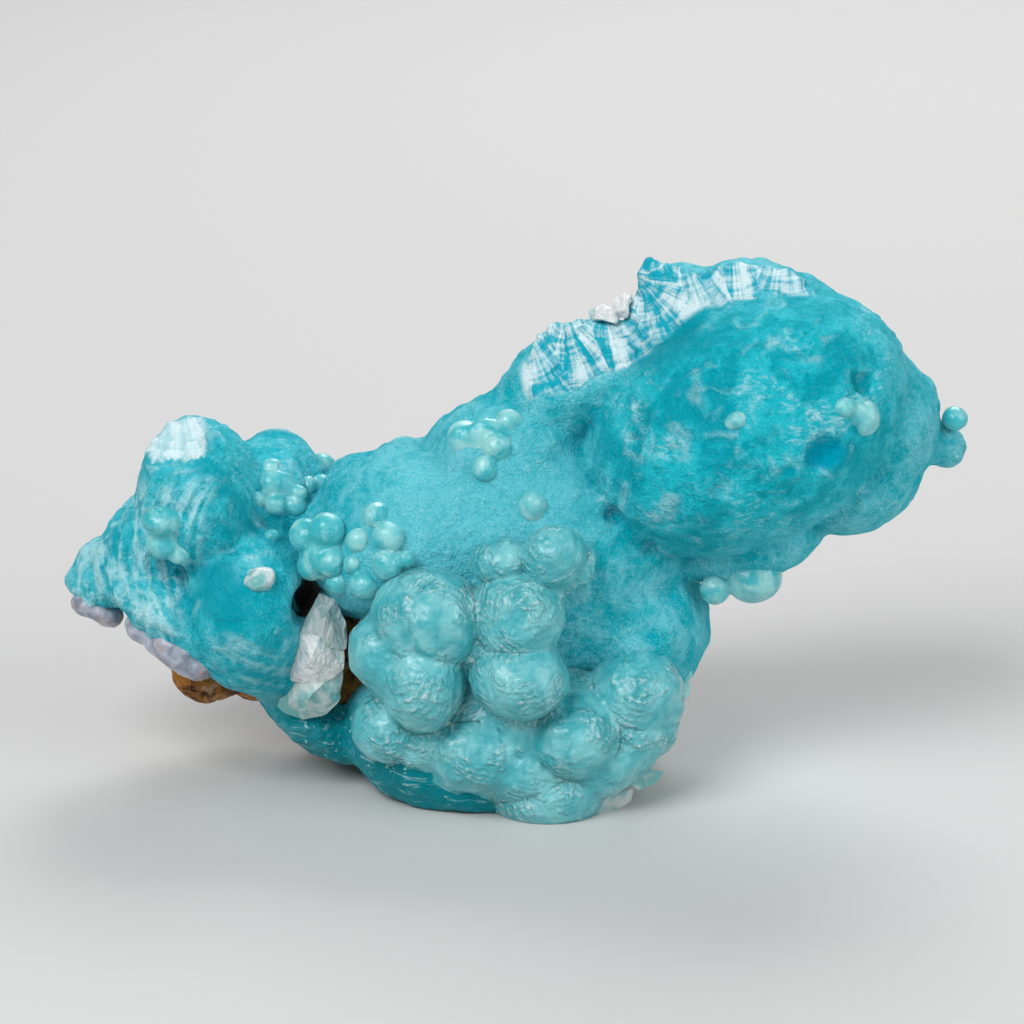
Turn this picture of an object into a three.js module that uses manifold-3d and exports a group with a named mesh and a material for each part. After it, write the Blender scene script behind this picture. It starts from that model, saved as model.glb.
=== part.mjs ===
// A display specimen of smithsonite, about 90 mm wide. A blue velvety crust in swollen lobes covers the
// front of a rough brown rock, and pale green translucent smithsonite has grown on the crust, as one
// large grape-like cluster at the keel and as small beads elsewhere. Millimetres, Z up, the display face
// towards -Y, the origin at the middle of the flat foot that the rock was trimmed to.

import * as THREE from "three";
import { ConvexGeometry } from "three/addons/geometries/ConvexGeometry.js";
import { mergeVertices } from "three/addons/utils/BufferGeometryUtils.js";
import Module from "manifold-3d";

const wasm = await Module();
wasm.setup();

// Driving dimensions
const TOE = new THREE.Vector3(4, -14, 0); // foremost point of the keel that touches the table
const GAP = 0.3; // between two minerals that touch
const SUNK = 0.15; // how far a bead's centre lies under the crust's skin, as a share of its radius
const TABLE_SIZE = 200; // block that trims everything below the foot
const BACK_TRIM = 27; // how far behind the toe the crust was broken off at the back

// Places on the display face are given as they show from the front: across and up on the plane that
// faces the eye through the toe, and how far behind the toe the thing really lies.
const SIGHT = { elevation: THREE.MathUtils.degToRad(18), distance: 400, across: -3.3, up: 31.3 };
const rightward = new THREE.Vector3(1, 0, 0);
const upward = new THREE.Vector3(0, Math.sin(SIGHT.elevation), Math.cos(SIGHT.elevation));
const inward = new THREE.Vector3(0, Math.cos(SIGHT.elevation), -Math.sin(SIGHT.elevation));
const eye = TOE.clone()
  .addScaledVector(rightward, SIGHT.across)
  .addScaledVector(upward, SIGHT.up)
  .addScaledVector(inward, -SIGHT.distance);

function seen(across, up, back) {
  const ray = TOE.clone()
    .addScaledVector(rightward, across)
    .addScaledVector(upward, up)
    .sub(eye);
  return eye.clone().addScaledVector(ray, (TOE.y + back - eye.y) / ray.y);
}

// Solids from three.js geometry
function solidOf(geometry) {
  for (const name of ["normal", "uv"]) geometry.deleteAttribute(name);
  const merged = mergeVertices(geometry, 1e-4);
  const triVerts = new Uint32Array(merged.index.array);
  const vertProperties = merged.attributes.position.array;
  return new wasm.Manifold(new wasm.Mesh({ numProp: 3, vertProperties, triVerts }));
}

function geometryOf(solid) {
  const { vertProperties, triVerts } = solid.getMesh();
  const geometry = new THREE.BufferGeometry();
  geometry.setAttribute("position", new THREE.BufferAttribute(vertProperties, 3));
  geometry.setIndex(new THREE.BufferAttribute(triVerts, 1));
  return geometry;
}

// A gentle wave over directions, from -1 to 1, that differs with each seed.
function wave(direction, frequency, seed) {
  const { x, y, z } = direction;
  const first = Math.sin(frequency * (x + 0.6 * z) + 1.7 * seed);
  const second = Math.sin(frequency * (y - 0.7 * x) + 2.9 * seed + 1);
  const third = Math.sin(frequency * (z + 0.5 * y) + 4.3 * seed + 2);
  return (first + second + third) / 3;
}

// A rounded growth. Its roll is anticlockwise as seen from the front, and lumpy is the share of its
// radius by which its surface swells and dips.
function growth({ at, size, roll = 0, detail = 2, lumpy = 0, frequency = 4, seed = 1 }, grown = 0) {
  const geometry = new THREE.IcosahedronGeometry(1, detail);
  const position = geometry.getAttribute("position");
  const point = new THREE.Vector3();
  for (let i = 0; i < position.count; i++) {
    point.fromBufferAttribute(position, i).normalize();
    const swell = 1 + lumpy * wave(point, frequency, seed);
    position.setXYZ(i, point.x * swell, point.y * swell, point.z * swell);
  }
  const [across, deep, high] = size;
  geometry.scale(across + grown, deep + grown, high + grown);
  geometry.rotateY(-THREE.MathUtils.degToRad(roll));
  const { x, y, z } = seen(...at);
  geometry.translate(x, y, z);
  return solidOf(geometry);
}

const joined = (list, grown = 0) =>
  list.map((item) => growth(item, grown)).reduce((all, next) => all.add(next));

// A block that breaks away all that lies above and behind its front lower edge, which is where it is
// placed. The broken face rises towards the back at the tip angle.
function fracture({ at, size, roll, tip }) {
  const [across, deep, high] = size;
  const geometry = new THREE.BoxGeometry(across, deep, high).toNonIndexed();
  geometry.translate(0, deep / 2, high / 2);
  geometry.rotateX(THREE.MathUtils.degToRad(tip));
  geometry.rotateY(-THREE.MathUtils.degToRad(roll));
  const { x, y, z } = seen(...at);
  geometry.translate(x, y, z);
  return solidOf(geometry);
}

// The largest body of a cut solid, without the crumbs that a cut leaves inside its neighbour.
function largest(solid) {
  return solid.decompose().reduce((best, next) => (next.volume() > best.volume() ? next : best));
}

const table = solidOf(
  new THREE.BoxGeometry(TABLE_SIZE, TABLE_SIZE, TABLE_SIZE)
    .toNonIndexed()
    .translate(0, 0, -TABLE_SIZE / 2),
);

// Host rock: brown limonite, rough where it was broken at the back and flat where it was trimmed
const rockChunks = [
  { at: [-5, 8, 19], size: [14, 10, 10], lumpy: 0.1, seed: 3 },
  { at: [3, 12, 20], size: [9, 8, 12], lumpy: 0.1, seed: 4 },
  { at: [-17, 14, 20], size: [11, 9, 7.5], roll: -25, lumpy: 0.12, seed: 5 },
  { at: [-31, 20.5, 21], size: [11, 9, 7.5], roll: -25, lumpy: 0.14, seed: 8 },
  { at: [-31, 31, 25], size: [9, 7, 6], roll: 10, lumpy: 0.14, seed: 9 },
  { at: [-1.5, 25, 24], size: [13, 12, 11], roll: 24, lumpy: 0.1, seed: 11 },
  { at: [9, 34, 25], size: [9, 9, 8], lumpy: 0.14, seed: 17 },
  { at: [21, 40, 23], size: [13.5, 12, 8.5], roll: 26, lumpy: 0.1, seed: 13 },
  { at: [-34.4, 15.5, 15.5], size: [4.6, 5, 2.7], roll: -31, lumpy: 0.14, seed: 19 },
];

// Blue crust: the swollen lobes from the large one at the right to the left masses, then the broken
// top edge and the keel under the cluster
const crustLobes = [
  { at: [20, 40.2, 15], size: [17.6, 14, 12.2], roll: 27, detail: 3, lumpy: 0.02, seed: 2 },
  { at: [32.6, 40.2, 18], size: [7.4, 9, 8], detail: 1, lumpy: 0.04, seed: 4 },
  { at: [31, 34.8, 18], size: [7.4, 9, 5.5], roll: 25, detail: 1, lumpy: 0.05, seed: 6 },
  { at: [20.5, 28.6, 16], size: [8.5, 7, 4], roll: 15, detail: 1, lumpy: 0.05, seed: 26 },
  { at: [-1.5, 26, 18], size: [18, 14, 15], roll: 24, detail: 3, lumpy: 0.02, seed: 7 },
  { at: [-14.5, 29.3, 16], size: [10.5, 12, 8.3], roll: 33, detail: 2, lumpy: 0.02, seed: 9 },
  { at: [-18.5, 33.8, 18], size: [4.5, 6, 3.2], roll: 25, detail: 1, seed: 29 },
  { at: [8.5, 20.5, 17], size: [8.4, 12, 8.5], roll: 20, detail: 1, lumpy: 0.04, seed: 10 },
  { at: [-4.2, 37.3, 17], size: [9.5, 8, 6.3], roll: 23, detail: 1, lumpy: 0.05, seed: 12 },
  { at: [-34.5, 32.8, 17], size: [6.2, 9.5, 8.2], roll: 12, detail: 2, lumpy: 0.04, seed: 14 },
  { at: [-39.8, 28, 18], size: [4.8, 8, 7.4], roll: -36, detail: 1, lumpy: 0.05, seed: 24 },
  { at: [-27.2, 33.5, 23], size: [6, 8, 5.9], roll: -25, detail: 1, lumpy: 0.03, seed: 15 },
  { at: [-20.5, 29, 20], size: [6, 9, 6], roll: 20, detail: 1, lumpy: 0.03, seed: 25 },
  { at: [-29.5, 22, 14], size: [7.5, 11, 8.7], detail: 2, lumpy: 0.03, seed: 16 },
  { at: [-43.8, 25.2, 20], size: [4.2, 6, 3.6], roll: 35, detail: 1, lumpy: 0.06, seed: 18 },
  { at: [-32.5, 19.6, 14], size: [14, 8, 4.6], roll: -31, detail: 1, lumpy: 0.06, seed: 19 },
  { at: [2.8, 44.4, 18], size: [8.6, 7, 5.6], roll: 27, detail: 1, lumpy: 0.06, seed: 21 },
  { at: [13.8, 50.8, 19], size: [6, 6, 5.8], roll: 35, detail: 1, lumpy: 0.06, seed: 22 },
  { at: [22.8, 52.8, 19], size: [8.4, 6, 3.7], roll: -13, detail: 1, lumpy: 0.06, seed: 23 },
  { at: [-8, 8.4, 12], size: [13.5, 11, 8.3], roll: -14, detail: 2, lumpy: 0.04, seed: 20 },
  { at: [-22, 11.6, 16], size: [9, 8, 3.9], roll: -30, detail: 1, lumpy: 0.06, seed: 27 },
  { at: [-6, 16, 10], size: [9.5, 5.5, 7.5], detail: 1, lumpy: 0.03, seed: 30 },
  { at: [39.8, 37.8, 18], size: [2.4, 2.6, 2.1], detail: 1, lumpy: 0.05, seed: 28 },
];

// Pits in the velvet, from the large round one to small dimples
const crustPits = [
  { at: [28, 37], radius: 2.1, deep: 1.6 },
  { at: [9.2, 40.5], radius: 1.4, deep: 1.3, high: 2.4, roll: 15 },
  { at: [32, 44.5], radius: 1.3, deep: 1 },
  { at: [7, 31], radius: 1.3, deep: 0.9 },
  { at: [-24, 22], radius: 1.6, deep: 4, high: 2.2, roll: -20 },
];

// Broken faces that show the banded inside of the crust
const crustFractures = [
  { at: [-0.8, 43, 12.5], size: [9, 20, 12], roll: 0, tip: 46 },
  { at: [6.3, 45, 13], size: [9, 20, 12], roll: 30, tip: 46 },
  { at: [12.6, 49.6, 14], size: [8, 20, 12], roll: 42, tip: 46 },
  { at: [21, 52.6, 14.5], size: [11, 16, 10], roll: 5, tip: 46 },
  { at: [-37.6, 34.9, 10], size: [8.4, 20, 10], roll: 14, tip: 18 },
];

// Large green botryoids of the keel
const clusterBulbs = [
  { at: [-12, 20.5, 4], size: [5.7, 5.4, 5.5], seed: 31 },
  { at: [-6.6, 19, 5], size: [3.4, 4.4, 5], detail: 1, seed: 47 },
  { at: [-11, 20.3, 2.5], size: [4.5, 4.4, 4.6], detail: 1, seed: 32 },
  { at: [-16, 17.6, 4], size: [3.8, 4.4, 4.1], detail: 1, seed: 33 },
  { at: [-12.3, 14.2, 2], size: [4.2, 5, 5], detail: 1, seed: 34 },
  { at: [-2.6, 20.9, 2.8], size: [4.8, 4.6, 4.5], detail: 1, seed: 35 },
  { at: [-2.4, 14.6, 1], size: [5, 4.8, 4], seed: 36 },
  { at: [-15.2, 10, 5], size: [4.4, 4.6, 3.6], detail: 1, seed: 37 },
  { at: [-7, 7.8, 4], size: [6, 5.4, 4.6], roll: -15, detail: 1, seed: 38 },
  { at: [3, 9, 3], size: [4.8, 5, 4.4], detail: 1, seed: 39 },
  { at: [0.2, 4.2, 6], size: [6.6, 6.6, 4.8], detail: 1, seed: 40 },
  { at: [9.2, 13, 6], size: [5, 5, 4.6], seed: 41 },
  { at: [7, 8.6, 6], size: [5, 5, 4.2], detail: 1, seed: 42 },
  { at: [-4.3, 26.5, 4.2], size: [3, 2.6, 2.3], detail: 1, seed: 43 },
  { at: [0.9, 26.9, 3], size: [3.2, 3, 3.2], detail: 1, seed: 44 },
  { at: [3.2, 25.2, 3], size: [1.9, 1.4, 1.5], detail: 1, seed: 45 },
  { at: [-3, 8.8, 6.5], size: [14.5, 5.5, 7.4], detail: 1, seed: 46 },
];

// Small growths on the crust: where each one shows, its radius, and its height, depth and roll if it
// isn't round. It sits where the sight line meets the crust's skin, unless its depth is given. A
// thin film joins the beads of a group.
const beadGroups = {
  dome_beads: [
    { at: [-21.6, 27.4, 9.5], radius: 3, high: 3.2, deep: 3, detail: 0 },
    { at: [-21.8, 29.5, 8], radius: 1.8 },
    { at: [-23.9, 28.9, 9.2], radius: 1.8 },
    { at: [-23.2, 26, 8.6], radius: 1.6 },
    { at: [-21.3, 26.3, 7], radius: 1.5 },
  ],
  dome_right_beads: [
    { at: [-16.8, 27.9, 5.6], radius: 2.6, high: 3.2, deep: 1.4, detail: 0 },
    { at: [-17.8, 25.4, 5], radius: 2.4, high: 1.6, deep: 1.3, detail: 0 },
    { at: [-20.6, 24.3], radius: 1.3 },
    { at: [-18.1, 24.1], radius: 1.5 },
    { at: [-19.2, 26.1], radius: 1 },
    { at: [-16.9, 30.9], radius: 1.4 },
    { at: [-18.6, 28.4], radius: 1.3 },
    { at: [-15.7, 28.8], radius: 1.6 },
    { at: [-15.8, 26.1], radius: 1.6 },
    { at: [-14, 26.6], radius: 0.9 },
  ],
  notch_beads: [
    { at: [-26.8, 33.4], radius: 2.2, deep: 1, detail: 0 },
    { at: [-27.3, 34.1], radius: 1.5 },
    { at: [-27.3, 35.6], radius: 1.1 },
    { at: [-28.8, 32.6], radius: 0.9 },
    { at: [-27, 32], radius: 1.2 },
    { at: [-25.1, 31.9], radius: 1.2 },
    { at: [-24.7, 33.2], radius: 0.9 },
    { at: [-23.7, 34], radius: 1 },
    { at: [-22.2, 35.9], radius: 1.4 },
    { at: [-22.5, 34], radius: 1.2 },
  ],
  crease_bead: [{ at: [-27.3, 28.7], radius: 0.9 }],
  left_lobe_beads: [
    { at: [-38, 29.2], radius: 1.4, deep: 1, detail: 0 },
    { at: [-38.3, 30.5], radius: 2.1, high: 1.4 },
    { at: [-38.1, 28.2], radius: 1.7, high: 1.4 },
    { at: [-36.6, 27.2], radius: 1.1 },
  ],
  left_lobe_crystal: [{ at: [-28.7, 24.5], radius: 1.7, high: 1.1, roll: 15 }],
  ridge_beads: [
    { at: [-5.8, 38.2], radius: 2.6, deep: 1.1, detail: 0 },
    { at: [-8, 38.7], radius: 1.8 },
    { at: [-4.6, 37.8], radius: 1.6 },
    { at: [-3.6, 40.2], radius: 1.4 },
    { at: [-6, 35.6], radius: 1.3 },
  ],
  saddle_bead: [{ at: [-1.2, 31.8], radius: 1.4, high: 1.7 }],
  right_lobe_flat_bead: [{ at: [19, 40.5], radius: 1.3, high: 0.9, roll: 25 }],
  right_lobe_beads: [
    { at: [31, 41.2], radius: 1.4, deep: 1, detail: 0 },
    { at: [29.8, 41.8], radius: 1.3, high: 1.1 },
    { at: [32.1, 40.7], radius: 1.5, high: 1.9 },
  ],
  tip_bead: [{ at: [41, 40.7, 17.5], radius: 1.4, high: 1.3 }],
  lower_right_beads: [
    { at: [20.8, 24.8, 12], radius: 2.9, high: 2.6 },
    { at: [17, 23.6, 11.5], radius: 1.6, high: 1.6 },
  ],
  keel_edge_beads: [
    { at: [13.7, 15.4, 12], radius: 1.1, high: 1.4 },
    { at: [13.5, 13.5, 12], radius: 1.1, high: 1.3 },
  ],
};

// Grey chalcedony under the left edge, and the quartz druse on the broken top edge
const chalcedonyBumps = [
  { at: [-36.2, 17.2, 9.5], size: [3.8, 2.6, 2.1], roll: -38, seed: 51 },
  { at: [-40.2, 19.5, 12], size: [2, 2, 1.3], roll: -30, seed: 52 },
  { at: [-38.2, 18.5, 10.5], size: [2, 2.2, 1.6], seed: 53 },
  { at: [-34.6, 15.8, 8.5], size: [1.8, 2, 1.5], seed: 54 },
];
const tipBumps = [
  { at: [-45.6, 22.3, 17.5], size: [1.8, 2.4, 1.4], seed: 55 },
  { at: [-43.9, 21.2, 17], size: [1.9, 2.4, 1.3], roll: -30, seed: 56 },
];
const druseBumps = [
  { at: [6, 50.7, 18.5], size: [1.9, 1.8, 1.6], seed: 57 },
  { at: [8.3, 51.9, 18.5], size: [1.8, 1.6, 1.4], seed: 58 },
  { at: [10.2, 53.2, 18.5], size: [1.4, 1.5, 1.3], seed: 59 },
];

// White calcite, broken to flat faces, in the hollow beside the cluster: its corners as they show from
// the front, and their depths
const crystalCorners = [
  [-24.5, 20.5, 10],
  [-23, 22.5, 11],
  [-21, 22.5, 10.5],
  [-19.5, 20, 9],
  [-19.7, 16.5, 8],
  [-21, 13.5, 8.5],
  [-24.5, 12.5, 9],
  [-26, 13.5, 10],
  [-25, 17.5, 9],
  [-22, 19.5, 7.5],
  [-22.5, 15, 7.5],
  [-23, 18, 15],
];

// Minerals, cut where they meet
const rockShape = rockChunks.map((chunk) => ({ ...chunk, detail: 1, frequency: 6 }));
const rock = largest(joined(rockShape).subtract(table));
const rockRoom = joined(rockShape, GAP);
const behind = solidOf(
  new THREE.BoxGeometry(TABLE_SIZE, TABLE_SIZE, TABLE_SIZE)
    .toNonIndexed()
    .translate(0, TOE.y + BACK_TRIM + TABLE_SIZE / 2, 0),
);

const lobes = joined(crustLobes);
const skin = new THREE.Mesh(geometryOf(lobes));
const sightLine = new THREE.Raycaster();

// Where the sight line through a place on the display face meets the skin, as a depth behind the toe.
function skinDepth(across, up) {
  sightLine.set(eye, seen(across, up, 0).sub(eye).normalize());
  const [hit] = sightLine.intersectObject(skin);
  return hit.point.y - TOE.y;
}

function onSkin({ at: [across, up, back], radius, high = radius, deep = radius, ...rest }, sunk = 0) {
  const depth = back ?? skinDepth(across, up) + sunk * radius;
  return { detail: radius > 2 ? 2 : Number(radius > 1.2), ...rest, at: [across, up, depth], size: [radius, deep, high] };
}

const crustCuts = [...crustFractures.map(fracture), ...crustPits.map((pit) => growth(onSkin(pit)))];
const crust = largest(
  [...crustCuts, rockRoom, table, behind].reduce((solid, cut) => solid.subtract(cut), lobes),
);
const crustRoom = joined(crustLobes, GAP);

const clusterShape = clusterBulbs.map((bulb) => ({ detail: 2, ...bulb, lumpy: 0.03 }));
const cluster = largest(joined(clusterShape).subtract(crustRoom).subtract(rockRoom).subtract(table));
const clusterRoom = joined(clusterShape, GAP);

// Materials and nodes
const stone = (colour, roughness) =>
  new THREE.MeshStandardMaterial({ color: colour, roughness, metalness: 0 });
const velvetBlue = stone(0x4fbfcc, 0.85);
const greenGlass = stone(0x8fd0c6, 0.3);
const rustBrown = stone(0x6b4a36, 0.9);
const milkWhite = stone(0xd8e6e4, 0.25);
const smokeGrey = stone(0x9aa4ac, 0.35);

const specimen = new THREE.Group();

function addNode(name, solid, material) {
  const mesh = new THREE.Mesh(geometryOf(solid), material);
  mesh.name = name;
  specimen.add(mesh);
}

addNode("host_rock", rock, rustBrown);
addNode("blue_crust", crust, velvetBlue);
addNode("keel_botryoids", cluster, greenGlass);

// Each later growth is cut back from all that was there before it.
let taken = crustRoom.add(clusterRoom).add(rockRoom);
function addGrowth(name, list, material) {
  addNode(name, largest(joined(list).subtract(taken)), material);
  taken = taken.add(joined(list, GAP));
}

addGrowth("chalcedony_seam", chalcedonyBumps.map((bump) => ({ ...bump, detail: 1 })), smokeGrey);
addGrowth("chalcedony_tip", tipBumps.map((bump) => ({ ...bump, detail: 1 })), smokeGrey);
addGrowth("quartz_druse", druseBumps.map((bump) => ({ ...bump, detail: 0 })), milkWhite);
for (const [name, beads] of Object.entries(beadGroups)) {
  const material = name === "left_lobe_crystal" ? milkWhite : greenGlass;
  addGrowth(name, beads.map((item) => onSkin(item, SUNK)), material);
}
const crystal = solidOf(new ConvexGeometry(crystalCorners.map((corner) => seen(...corner))));
addNode("broken_crystal", largest(crystal.subtract(taken)), milkWhite);

export default specimen;
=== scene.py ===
# A display specimen of smithsonite, 92 mm wide. A blue velvety crust in swollen lobes covers a rough brown
# rock, and pale green translucent smithsonite has grown on it: one grape-like cluster at the keel and small
# beads elsewhere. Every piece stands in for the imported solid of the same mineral, in metres.

import math

import bmesh
import bpy
import numpy as np
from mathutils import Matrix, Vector
from mathutils.bvhtree import BVHTree


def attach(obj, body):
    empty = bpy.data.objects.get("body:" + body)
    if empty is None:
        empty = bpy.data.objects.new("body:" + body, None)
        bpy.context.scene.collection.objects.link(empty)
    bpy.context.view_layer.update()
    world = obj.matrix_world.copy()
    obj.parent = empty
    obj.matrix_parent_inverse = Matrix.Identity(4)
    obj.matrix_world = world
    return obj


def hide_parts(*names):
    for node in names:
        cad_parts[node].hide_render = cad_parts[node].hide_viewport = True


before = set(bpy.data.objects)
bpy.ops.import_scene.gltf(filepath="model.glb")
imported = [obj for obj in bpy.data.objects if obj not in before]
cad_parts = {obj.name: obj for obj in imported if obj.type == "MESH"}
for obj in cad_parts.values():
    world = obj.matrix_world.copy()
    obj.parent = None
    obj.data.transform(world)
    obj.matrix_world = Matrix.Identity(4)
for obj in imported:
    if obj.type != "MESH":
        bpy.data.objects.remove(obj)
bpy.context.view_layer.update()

# The view
# The display face is seen from 400 mm in front of the keel's toe and 18 degrees above it. Places on the face
# are given in mm as they show from there: across and up from the toe, and how far behind it they really lie.
MM = 0.001
TOE = np.array((4.0, -14.0, 0.0))
ELEVATION = math.radians(18)
DISTANCE = 400.0
SIGHT_ACROSS, SIGHT_UP = -3.3, 31.3
VIEW_WIDTH = 102.4
SENSOR_WIDTH = 36.0
RIGHT = np.array((1.0, 0.0, 0.0))
UPWARD = np.array((0.0, math.sin(ELEVATION), math.cos(ELEVATION)))
INWARD = np.array((0.0, math.cos(ELEVATION), -math.sin(ELEVATION)))
EYE = TOE + SIGHT_ACROSS * RIGHT + SIGHT_UP * UPWARD - DISTANCE * INWARD


def sight(across, up):
    """The direction from the eye to a place on the display face."""
    ray = TOE + across * RIGHT + up * UPWARD - EYE
    return ray / np.linalg.norm(ray)


def seen(across, up, back):
    """Where a thing lies, in mm, that shows at across and up and is back behind the toe."""
    ray = sight(across, up)
    return EYE + ray * (TOE[1] + back - EYE[1]) / ray[1]


def as_shown(points):
    """Across and up at which points show from the front."""
    ray = points - EYE
    reach = DISTANCE / (ray @ INWARD)
    return ray @ RIGHT * reach + SIGHT_ACROSS, ray @ UPWARD * reach + SIGHT_UP


camera = bpy.data.objects.new("camera", bpy.data.cameras.new("camera"))
camera.location = Vector(EYE) * MM
camera.rotation_euler = (math.pi / 2 - ELEVATION, 0, 0)
camera.data.sensor_width = SENSOR_WIDTH
camera.data.lens = SENSOR_WIDTH * DISTANCE / VIEW_WIDTH
camera.data.clip_start = 10 * MM
bpy.context.scene.collection.objects.link(camera)
bpy.context.scene.camera = camera
bpy.context.scene.view_settings.view_transform = "Standard"


# The studio
# A pale matt floor, a large soft light above and to the left of the eye, a weaker one at the right, and a
# low one behind that shines through the edges of the beads.
FLOOR_WIDTH = 8.0
FLOOR_GREY = (0.62, 0.62, 0.61, 1)
LIGHTS = {
    "key": {"at": (-0.35, -0.45, 0.6), "size": 0.45, "watts": 4.7},
    "fill": {"at": (0.55, -0.35, 0.35), "size": 0.5, "watts": 1.9},
    "rim": {"at": (0.1, 0.5, 0.5), "size": 0.35, "watts": 2.6},
}
LIGHTS_AIM = Vector((0, 0, 0.025))
SKY_COLOUR = (0.8, 0.83, 0.86, 1)
SKY_STRENGTH = 0.26

floor_mesh = bpy.data.meshes.new("floor")
half = FLOOR_WIDTH / 2
corners = [(-half, -half, 0), (half, -half, 0), (half, half, 0), (-half, half, 0)]
floor_mesh.from_pydata(corners, [], [(0, 1, 2, 3)])
floor = bpy.data.objects.new("floor", floor_mesh)
bpy.context.scene.collection.objects.link(floor)
floor_finish = bpy.data.materials.new("floor")
floor_finish.use_nodes = True
floor_finish.node_tree.nodes["Principled BSDF"].inputs["Base Color"].default_value = FLOOR_GREY
floor_finish.node_tree.nodes["Principled BSDF"].inputs["Roughness"].default_value = 0.9
floor_mesh.materials.append(floor_finish)

for name, light in LIGHTS.items():
    lamp = bpy.data.objects.new(name, bpy.data.lights.new(name, "AREA"))
    lamp.location = light["at"]
    lamp.rotation_euler = (LIGHTS_AIM - lamp.location).to_track_quat("-Z", "Y").to_euler()
    lamp.data.size = light["size"]
    lamp.data.energy = light["watts"]
    bpy.context.scene.collection.objects.link(lamp)
world = bpy.data.worlds.new("studio")
bpy.context.scene.world = world
world.use_nodes = True
world.node_tree.nodes["Background"].inputs["Color"].default_value = SKY_COLOUR
world.node_tree.nodes["Background"].inputs["Strength"].default_value = SKY_STRENGTH


# The blue crust
# Fibrous smithsonite, 5 to 8 mm thick, with a skin like velvet. It swells in lobes, is pitted on the large
# one at the right, and shows its banded fibres in fans where its top edge was broken off.
CRUST_VOXEL = 0.4
CRUST_ROUNDS = 6
BREAK_ROUNDS = 2
DOME_ROUNDS = 190
DOME_BACK = 4
BREAK_REACH = 12
BACK_EDGE = 12.0
CAVITY_FRONT = -4.6
# Each break is flat: the middle of its front lower edge, half its length, that edge's roll, the face's tip.
BREAKS = (
    {"at": (-0.8, 43, 12.5), "half": 5.2, "roll": 0, "tip": 46},
    {"at": (6.3, 45, 13), "half": 5.2, "roll": 30, "tip": 46},
    {"at": (12.6, 49.6, 14), "half": 4.6, "roll": 42, "tip": 46},
    {"at": (21, 52.6, 14.5), "half": 6, "roll": 5, "tip": 46},
    {"at": (-37.6, 34.9, 10), "half": 3.9, "roll": 14, "tip": 18},
)
# The fibres of the broken edge fan out from these places, across and up.
FANS = (
    (-2.0, 49.5),
    (2.0, 51.0),
    (5.8, 52.5),
    (9.4, 54.6),
    (13.6, 58.0),
    (18.6, 60.0),
    (23.8, 60.0),
    (-37.0, 44.0),
)
# Across, up, radius and depth.
DIMPLES = (
    (28.0, 37.0, 2.0, -0.15),
    (17.0, 33.4, 0.8, 0.3),
    (21.7, 34.2, 0.8, 0.3),
    (34.6, 33.6, 0.8, 0.35),
    (13.0, 36.5, 1.1, 0.25),
    (23.4, 44.8, 0.7, 0.25),
    (26.2, 46.5, 0.7, 0.25),
    (31.8, 44.2, 1.2, 0.3),
    (14.4, 43.5, 0.8, 0.25),
    (10.6, 27.5, 0.9, 0.25),
    (-31.5, 27.0, 1.0, 0.3),
)
# Across, up, half width, half height and roll.
PLACES = {
    "smooth dome": (-7.5, 29.5, 11.5, 7.0, 26),
    "pale dome": (-7, 30, 15, 9, 25),
    "right lobe": (20, 40, 19.5, 13.5, 27),
    "recess": (12.2, 48.4, 5.0, 1.9, 38),
    "glossy lobe": (-32.3, 23.0, 2.6, 4.4, 15),
    "glossy crease": (-25.5, 27.8, 1.6, 1.2),
    "cavity": (-24.0, 22.1, 2.0, 2.7, -15),
    "swirl": (-28.5, 15.5, 5.5, 2.6, -35),
    "pit": (28.1, 37.1, 2.3, 1.7),
}


def lattice_noise(points, seed):
    """Smooth noise from 0 to 1 at each point, from random values on a lattice of unit cells."""
    cell = np.floor(points).astype(np.int64)
    t = points - cell
    t = t * t * (3 - 2 * t)
    total = np.zeros(len(points))
    for corner in np.ndindex(2, 2, 2):
        x, y, z = (cell + corner).T
        mixed = x * 374761393 + y * 668265263 + z * 1442695041 + seed * 974634777
        mixed = (mixed ^ (mixed >> 13)) * 1274126177
        mixed = (mixed ^ (mixed >> 16)) & 0xFFFFFF
        weight = np.prod(np.where(corner, t, 1 - t), axis=1)
        total += weight * mixed / 0xFFFFFF
    return total


def rough(points, size, octaves=3, seed=0):
    """Fractal noise from -1 to 1, whose largest swells are size mm across."""
    total = np.zeros(len(points))
    for octave in range(octaves):
        total += (lattice_noise(points * 2**octave / size + 17.3 * octave, seed + octave) * 2 - 1) / 2**octave
    return total / (2 - 0.5 ** (octaves - 1))


def ridged(points, size, octaves=2, seed=0):
    """Noise from 0 to 1 with sharp crests, size mm apart."""
    return (1 - np.abs(rough(points, size, octaves, seed)) * 2).clip(0, 1)


def points_of(mesh):
    flat = np.empty(len(mesh.vertices) * 3, np.float32)
    mesh.vertices.foreach_get("co", flat)
    return flat.reshape(-1, 3).astype(float) / MM


def normals_of(mesh):
    flat = np.empty(len(mesh.vertices) * 3, np.float32)
    mesh.vertices.foreach_get("normal", flat)
    return flat.reshape(-1, 3).astype(float)


def edges_of(mesh):
    flat = np.empty(len(mesh.edges) * 2, np.int32)
    mesh.edges.foreach_get("vertices", flat)
    return flat.reshape(-1, 2)


def move_points(mesh, points):
    """Puts the mesh's points, given in mm, in place. None goes below the flat foot."""
    points[:, 2] = np.maximum(points[:, 2], 0)
    mesh.vertices.foreach_set("co", (points * MM).astype(np.float32).ravel())
    mesh.update()


def relaxed(points, edges, rounds):
    """The points after each has moved halfway towards the middle of its neighbours, round after round."""
    count = np.bincount(edges.ravel(), minlength=len(points))[:, None]
    for _ in range(rounds):
        total = np.empty_like(points)
        for axis in range(3):
            ends = points[edges, axis]
            total[:, axis] = np.bincount(edges[:, 0], ends[:, 1], len(points))
            total[:, axis] += np.bincount(edges[:, 1], ends[:, 0], len(points))
        points = (points + total / count) / 2
    return points


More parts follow.
